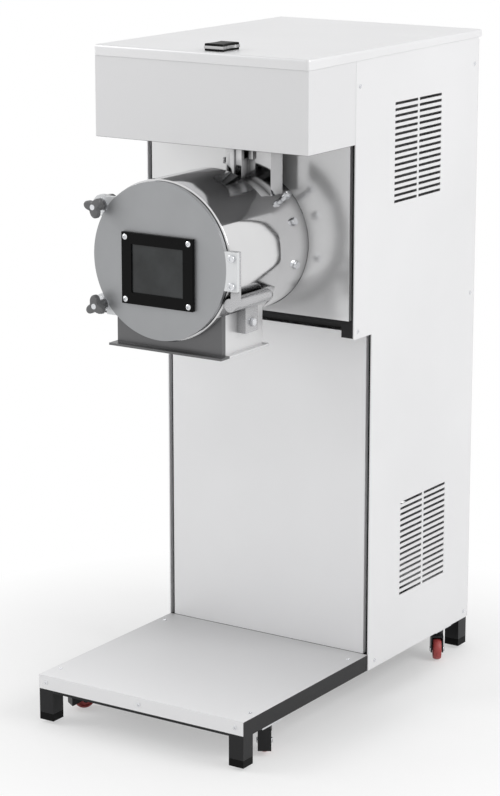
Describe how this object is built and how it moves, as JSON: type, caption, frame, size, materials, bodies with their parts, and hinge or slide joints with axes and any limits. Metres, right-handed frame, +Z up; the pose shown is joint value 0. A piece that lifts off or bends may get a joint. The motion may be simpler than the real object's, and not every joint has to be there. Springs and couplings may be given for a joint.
{
  "type": "pulverizer",
  "caption": "Free-standing cabinet mill: grain hopper under a hinged lid, beater chamber with a clamped round door, outlet over a platform, belt drive inside, on castors.",
  "frame": {"origin": "on the floor, under the middle of the bounding box", "axes": "+Z up, front with the chamber door towards -Y, +X to the viewer's right when facing the front"},
  "size_m": [0.4606, 0.8084, 1.219],
  "materials": {
    "black_steel": "semi-gloss black",
    "black_plastic": "matt black",
    "sheet_steel": "satin sheet",
    "polished_steel": "polished",
    "cast_grey": "satin casting",
    "machined_steel": "machined",
    "zinc": "zinc plated",
    "window_glass": "dark pane",
    "red_wheel": "red",
    "belt_rubber": "matt",
    "cast_iron": "as cast",
    "motor_grey": "machine grey",
    "knob_grey": "grey"
  },
  "bodies": {
    "cabinet": {"base_frame": "black_steel", "leg_caps": "black_plastic", "castor_plates": "zinc", "platform_deck": "sheet_steel", "cabinet_frame": "black_steel", "left_side_panel": "sheet_steel", "right_side_panel": "sheet_steel", "back_panel": "sheet_steel", "upper_front_panel": "polished_steel", "lower_front_panel": "sheet_steel", "hopper_housing": "sheet_steel", "hopper_bin": "sheet_steel", "panel_screws": "zinc", "lid_hinge_fixed": "zinc", "lid_hinge_pins": "zinc", "feed_chute": "polished_steel", "chamber_shell": "polished_steel", "chamber_rear": "polished_steel", "mill_bolts": "zinc", "outlet_spout": "sheet_steel", "sieve_screen": "machined_steel", "bearing_blocks": "cast_iron", "mill_bed": "machined_steel", "drive_belts": "belt_rubber", "motor_body": "motor_grey", "motor_fan_cover": "black_steel", "motor_rails": "black_steel", "pivot_bracket": "machined_steel", "clamp_studs": "zinc", "cable_gland": "black_plastic", "switch_body": "black_plastic"},
    "lid": {"hopper_lid": "sheet_steel", "lid_handle": "black_plastic", "lid_handle_band": "polished_steel", "lid_hinge_moving": "zinc"},
    "gate": {"feed_gate": "machined_steel"},
    "rotor": {"main_shaft": "machined_steel", "rotor_hub": "machined_steel", "rotor_beaters": "machined_steel", "mill_pulley": "cast_iron"},
    "motor_rotor": {"motor_shaft": "machined_steel", "motor_pulley": "cast_iron"},
    "door": {"chamber_door": "cast_grey", "window_frame": "black_plastic", "window_pane": "window_glass", "door_screws": "zinc", "hinge_arm": "machined_steel"},
    "upper_washer": {"upper_clamp_washer": "zinc"},
    "upper_knob": {"upper_clamp_knob": "knob_grey"},
    "lower_washer": {"lower_clamp_washer": "zinc"},
    "lower_knob": {"lower_clamp_knob": "knob_grey"},
    "rocker": {"switch_rocker": "red_wheel"},
    "castor_front_left": {"castor_fork_front_left": "black_steel"},
    "wheel_front_left": {"castor_wheel_front_left": "red_wheel"},
    "castor_front_right": {"castor_fork_front_right": "black_steel"},
    "wheel_front_right": {"castor_wheel_front_right": "red_wheel"},
    "castor_rear_left": {"castor_fork_rear_left": "black_steel"},
    "wheel_rear_left": {"castor_wheel_rear_left": "red_wheel"},
    "castor_rear_right": {"castor_fork_rear_right": "black_steel"},
    "wheel_rear_right": {"castor_wheel_rear_right": "red_wheel"}
  },
  "joints": [
    {"name": "lid_hinge", "type": "hinge", "parent": "cabinet", "child": "lid", "pos_m": [0, 0.3982, 1.1918], "axis": [-1, 0, 0], "range_deg": [0, 100]},
    {"name": "gate_slide", "type": "slide", "parent": "cabinet", "child": "gate", "axis": [-1, 0, 0], "range_m": [0, 0.048]},
    {"name": "door_swing", "type": "hinge", "parent": "cabinet", "child": "door", "pos_m": [0.14, -0.3208, 0.7965], "axis": [0, 1, 0], "range_deg": [0, 115]},
    {"name": "rotor_spin", "type": "hinge", "parent": "cabinet", "child": "rotor", "pos_m": [0, 0, 0.8585], "axis": [0, 1, 0], "continuous": true},
    {"name": "motor_spin", "type": "hinge", "parent": "cabinet", "child": "motor_rotor", "pos_m": [0, 0.3052, 0.198], "axis": [0, 1, 0], "continuous": true},
    {"name": "rocker_tilt", "type": "hinge", "parent": "cabinet", "child": "rocker", "pos_m": [-0.2155, 0.0102, 1.096], "axis": [0, 0, 1], "range_deg": [-6, 6]},
    {"name": "upper_washer_slide", "type": "slide", "parent": "cabinet", "child": "upper_washer", "axis": [0, -1, 0], "range_m": [0, 0.003]},
    {"name": "upper_knob_turn", "type": "hinge", "parent": "upper_washer", "child": "upper_knob", "pos_m": [-0.12, -0.3398, 0.9455], "axis": [0, -1, 0], "range_deg": [0, 720]},
    {"name": "lower_washer_slide", "type": "slide", "parent": "cabinet", "child": "lower_washer", "axis": [0, -1, 0], "range_m": [0, 0.003]},
    {"name": "lower_knob_turn", "type": "hinge", "parent": "lower_washer", "child": "lower_knob", "pos_m": [-0.12, -0.3398, 0.7715], "axis": [0, -1, 0], "range_deg": [0, 720]},
    {"name": "castor_swivel_front_left", "type": "hinge", "parent": "cabinet", "child": "castor_front_left", "pos_m": [-0.2055, -0.3116, 0.055], "axis": [0, 0, 1], "continuous": true},
    {"name": "wheel_roll_front_left", "type": "hinge", "parent": "castor_front_left", "child": "wheel_front_left", "pos_m": [-0.19733, -0.29902, 0.021], "axis": [-0.8387, 0.5446, 0], "continuous": true},
    {"name": "castor_swivel_front_right", "type": "hinge", "parent": "cabinet", "child": "castor_front_right", "pos_m": [0.2055, -0.3116, 0.055], "axis": [0, 0, 1], "continuous": true},
    {"name": "wheel_roll_front_right", "type": "hinge", "parent": "castor_front_right", "child": "wheel_front_right", "pos_m": [0.19733, -0.29902, 0.021], "axis": [-0.8387, -0.5446, 0], "continuous": true},
    {"name": "castor_swivel_rear_left", "type": "hinge", "parent": "cabinet", "child": "castor_rear_left", "pos_m": [-0.2055, 0.3012, 0.055], "axis": [0, 0, 1], "continuous": true},
    {"name": "wheel_roll_rear_left", "type": "hinge", "parent": "castor_rear_left", "child": "wheel_rear_left", "pos_m": [-0.21367, 0.28862, 0.021], "axis": [0.8387, -0.5446, 0], "continuous": true},
    {"name": "castor_swivel_rear_right", "type": "hinge", "parent": "cabinet", "child": "castor_rear_right", "pos_m": [0.2055, 0.3012, 0.055], "axis": [0, 0, 1], "continuous": true},
    {"name": "wheel_roll_rear_right", "type": "hinge", "parent": "castor_rear_right", "child": "wheel_rear_right", "pos_m": [0.21367, 0.28862, 0.021], "axis": [0.8387, 0.5446, 0], "continuous": true}
  ],
  "couplings": [
    {"joint": "motor_spin", "follows": "rotor_spin", "ratio": 0.66667},
    {"joint": "upper_knob_turn", "follows": "upper_washer_slide", "rad_per_m": 4188.8},
    {"joint": "lower_knob_turn", "follows": "lower_washer_slide", "rad_per_m": 4188.8}
  ]
}
